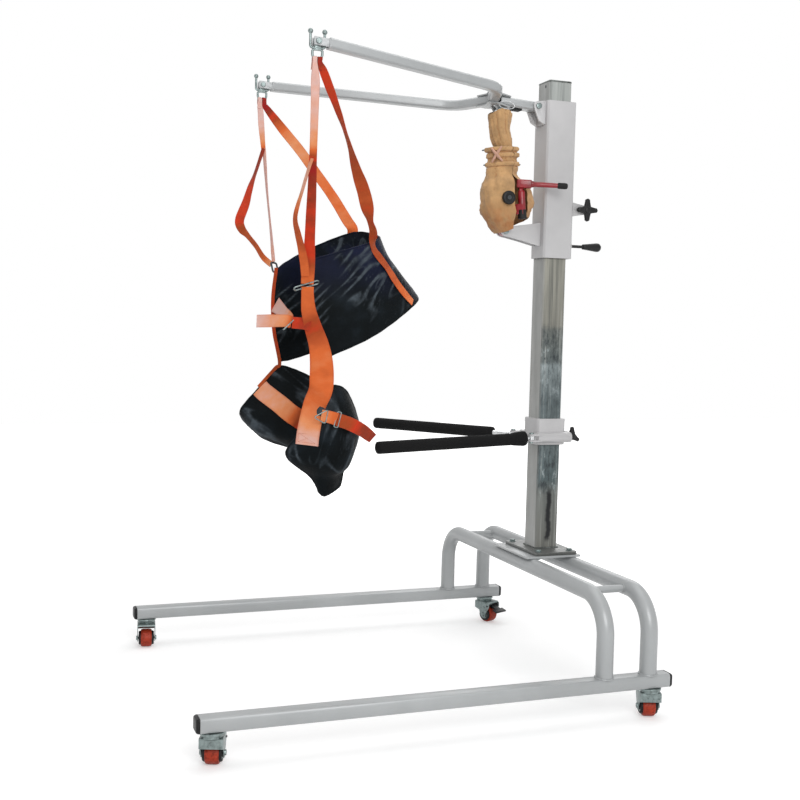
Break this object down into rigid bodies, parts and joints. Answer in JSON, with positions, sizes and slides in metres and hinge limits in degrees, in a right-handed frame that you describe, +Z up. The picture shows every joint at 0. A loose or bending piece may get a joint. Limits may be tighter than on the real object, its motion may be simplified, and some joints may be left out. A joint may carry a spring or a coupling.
{
  "type": "gait trainer",
  "caption": "Body-weight-support gait trainer: wheeled arched base, mast, hydraulic wishbone boom, hanging walking sling and swing-out handrails.",
  "frame": {"origin": "on the floor, at the middle of the whole object's length and width, below the open end of the base", "axes": "+Z up along the mast; +Y from the open front end towards the mast; +X to the right as seen looking along +Y"},
  "size_m": [1.2133, 1.43, 1.9117],
  "materials": {
    "silver_paint": "silver powder coat, satin",
    "sleeve_paint": "light silver paint, satin",
    "galvanised_steel": "mottled zinc with streaks",
    "zinc_plate": "bright zinc plate",
    "chrome": "polished",
    "black_plastic": "moulded, satin",
    "black_foam": "closed-cell foam sleeve",
    "nylon_pad": "natural nylon",
    "red_enamel": "gloss enamel",
    "wheel_core": "moulded nylon",
    "orange_tyre": "smooth polyurethane",
    "pad_cloth": "coated black nylon over foam",
    "orange_webbing": "woven flat webbing",
    "beige_cloth": "gathered cotton twill"
  },
  "bodies": {
    "base": {"leg_right": "silver_paint", "leg_left": "silver_paint", "end_plug_front_right": "black_plastic", "end_plug_front_left": "black_plastic", "end_plug_rear_right": "black_plastic", "end_plug_rear_left": "black_plastic", "arch_front": "silver_paint", "arch_rear": "silver_paint", "mast_mount_plate": "silver_paint", "mast": "galvanised_steel", "mast_top_plug": "galvanised_steel"},
    "swivel_front_right": {"caster_fork_front_right": "zinc_plate"},
    "swivel_front_left": {"caster_fork_front_left": "zinc_plate"},
    "swivel_rear_right": {"caster_fork_rear_right": "zinc_plate"},
    "swivel_rear_left": {"caster_fork_rear_left": "zinc_plate"},
    "wheel_front_right": {"wheel_core_front_right": "wheel_core", "tyre_front_right": "orange_tyre"},
    "wheel_front_left": {"wheel_core_front_left": "wheel_core", "tyre_front_left": "orange_tyre"},
    "wheel_rear_right": {"wheel_core_rear_right": "wheel_core", "tyre_rear_right": "orange_tyre"},
    "wheel_rear_left": {"wheel_core_rear_left": "wheel_core", "tyre_rear_left": "orange_tyre"},
    "brake_front_right": {"brake_pedal_front_right": "black_plastic"},
    "brake_rear_left": {"brake_pedal_rear_left": "black_plastic"},
    "carriage": {"sleeve": "sleeve_paint", "sleeve_liner": "nylon_pad", "boom_bracket": "sleeve_paint", "boom_pivot_pin": "zinc_plate", "jack_bracket": "sleeve_paint", "jack_foot_pin": "zinc_plate"},
    "sleeve_knob": {"sleeve_clamp_knob": "black_plastic"},
    "plunger": {"index_plunger": "black_plastic"},
    "boom": {"boom_root": "silver_paint", "arm_right": "silver_paint", "arm_left": "silver_paint", "jack_top_pin": "zinc_plate"},
    "jack": {"jack_body": "red_enamel", "jack_cover": "beige_cloth"},
    "ram": {"jack_ram": "chrome", "jack_cover_neck": "beige_cloth"},
    "lever": {"pump_lever": "red_enamel"},
    "release": {"release_knob": "black_plastic"},
    "hooks": {"sling_hook_right": "zinc_plate", "sling_hook_left": "zinc_plate"},
    "sling": {"back_pad": "pad_cloth", "thigh_pad_right": "pad_cloth", "thigh_pad_left": "pad_cloth", "straps_right": "orange_webbing", "straps_left": "orange_webbing", "waist_strap": "orange_webbing", "thigh_strap": "orange_webbing"},
    "collar": {"rail_collar": "sleeve_paint", "rail_hinge_pin_right": "zinc_plate", "rail_hinge_pin_left": "zinc_plate"},
    "collar_knob": {"collar_clamp_knob": "black_plastic"},
    "rail_right": {"rail_rod_right": "chrome", "rail_grip_right": "black_foam"},
    "rail_left": {"rail_rod_left": "chrome", "rail_grip_left": "black_foam"}
  },
  "joints": [
    {"name": "swivel_front_right_turn", "type": "hinge", "parent": "base", "child": "swivel_front_right", "pos_m": [0.575, -0.675, 0.093], "axis": [0, 0, 1], "continuous": true},
    {"name": "swivel_front_left_turn", "type": "hinge", "parent": "base", "child": "swivel_front_left", "pos_m": [-0.575, -0.675, 0.093], "axis": [0, 0, 1], "continuous": true},
    {"name": "swivel_rear_right_turn", "type": "hinge", "parent": "base", "child": "swivel_rear_right", "pos_m": [0.575, 0.599, 0.093], "axis": [0, 0, 1], "continuous": true},
    {"name": "swivel_rear_left_turn", "type": "hinge", "parent": "base", "child": "swivel_rear_left", "pos_m": [-0.575, 0.599, 0.093], "axis": [0, 0, 1], "continuous": true},
    {"name": "wheel_front_right_spin", "type": "hinge", "parent": "swivel_front_right", "child": "wheel_front_right", "pos_m": [0.55433, -0.66748, 0.03], "axis": [-0.342, -0.9397, 0], "continuous": true},
    {"name": "wheel_front_left_spin", "type": "hinge", "parent": "swivel_front_left", "child": "wheel_front_left", "pos_m": [-0.55321, -0.67806, 0.03], "axis": [0.1392, 0.9903, 0], "continuous": true},
    {"name": "wheel_rear_right_spin", "type": "hinge", "parent": "swivel_rear_right", "child": "wheel_rear_right", "pos_m": [0.55433, 0.60652, 0.03], "axis": [-0.342, -0.9397, 0], "continuous": true},
    {"name": "wheel_rear_left_spin", "type": "hinge", "parent": "swivel_rear_left", "child": "wheel_rear_left", "pos_m": [-0.55475, 0.6076, 0.03], "axis": [-0.3907, 0.9205, 0], "continuous": true},
    {"name": "brake_front_right_press", "type": "hinge", "parent": "swivel_front_right", "child": "brake_front_right", "pos_m": [0.53553, -0.66064, 0.064], "axis": [-0.342, -0.9397, 0], "range_deg": [0, 14]},
    {"name": "brake_rear_left_press", "type": "hinge", "parent": "swivel_rear_left", "child": "brake_rear_left", "pos_m": [-0.53634, 0.61541, 0.064], "axis": [-0.3907, 0.9205, 0], "range_deg": [0, 14]},
    {"name": "sleeve_slide", "type": "slide", "parent": "base", "child": "carriage", "axis": [0, 0, -1], "range_m": [-0.05, 0.25]},
    {"name": "sleeve_knob_turn", "type": "hinge", "parent": "carriage", "child": "sleeve_knob", "pos_m": [0, 0.652, 1.508], "axis": [1, 0, 0], "range_deg": [0, 360]},
    {"name": "plunger_pull", "type": "slide", "parent": "carriage", "child": "plunger", "axis": [0, 1, 0], "range_m": [0, 0.012], "stiffness_N_per_m": 400, "springref_m": -0.01},
    {"name": "boom_hinge", "type": "hinge", "parent": "carriage", "child": "boom", "pos_m": [0, 0.458, 1.826], "axis": [-1, 0, 0], "range_deg": [-18, 18]},
    {"name": "jack_tilt", "type": "hinge", "parent": "carriage", "child": "jack", "pos_m": [0, 0.36, 1.425], "axis": [1, 0, 0], "range_deg": [-1, 1]},
    {"name": "ram_slide", "type": "slide", "parent": "jack", "child": "ram", "axis": [0, -0.0746, 0.9972], "range_m": [-0.041, 0.041], "deforming": ["jack_cover_neck"]},
    {"name": "hooks_hang", "type": "hinge", "parent": "boom", "child": "hooks", "pos_m": [0, -0.36088, 1.87752], "axis": [-1, 0, 0], "range_deg": [-18.5, 18.5]},
    {"name": "sling_swing", "type": "hinge", "parent": "hooks", "child": "sling", "pos_m": [0, -0.36088, 1.84452], "axis": [1, 0, 0], "range_deg": [-30, 2]},
    {"name": "pump_lever_stroke", "type": "hinge", "parent": "jack", "child": "lever", "pos_m": [0.052, 0.39298, 1.57388], "axis": [0.918, -0.3955, -0.0296], "range_deg": [-8, 50]},
    {"name": "release_knob_turn", "type": "hinge", "parent": "jack", "child": "release", "pos_m": [0, 0.3464, 1.52627], "axis": [1, 0, 0], "range_deg": [0, 180]},
    {"name": "collar_slide", "type": "slide", "parent": "base", "child": "collar", "axis": [0, 0, 1], "range_m": [-0.25, 0.2]},
    {"name": "collar_knob_turn", "type": "hinge", "parent": "collar", "child": "collar_knob", "pos_m": [0, 0.625, 0.765], "axis": [1, 0, 0], "range_deg": [0, 360]},
    {"name": "rail_right_swing", "type": "hinge", "parent": "collar", "child": "rail_right", "pos_m": [0.066, 0.45, 0.765], "axis": [0, 0, 1], "range_deg": [-8, 82]},
    {"name": "rail_left_swing", "type": "hinge", "parent": "collar", "child": "rail_left", "pos_m": [-0.066, 0.45, 0.765], "axis": [0, 0, -1], "range_deg": [-54, 36]}
  ],
  "couplings": [
    {"joint": "jack_tilt", "follows": "boom_hinge", "ratio": 0.027},
    {"joint": "ram_slide", "follows": "boom_hinge", "m_per_rad": 0.1254},
    {"joint": "hooks_hang", "follows": "boom_hinge", "ratio": -1}
  ]
}
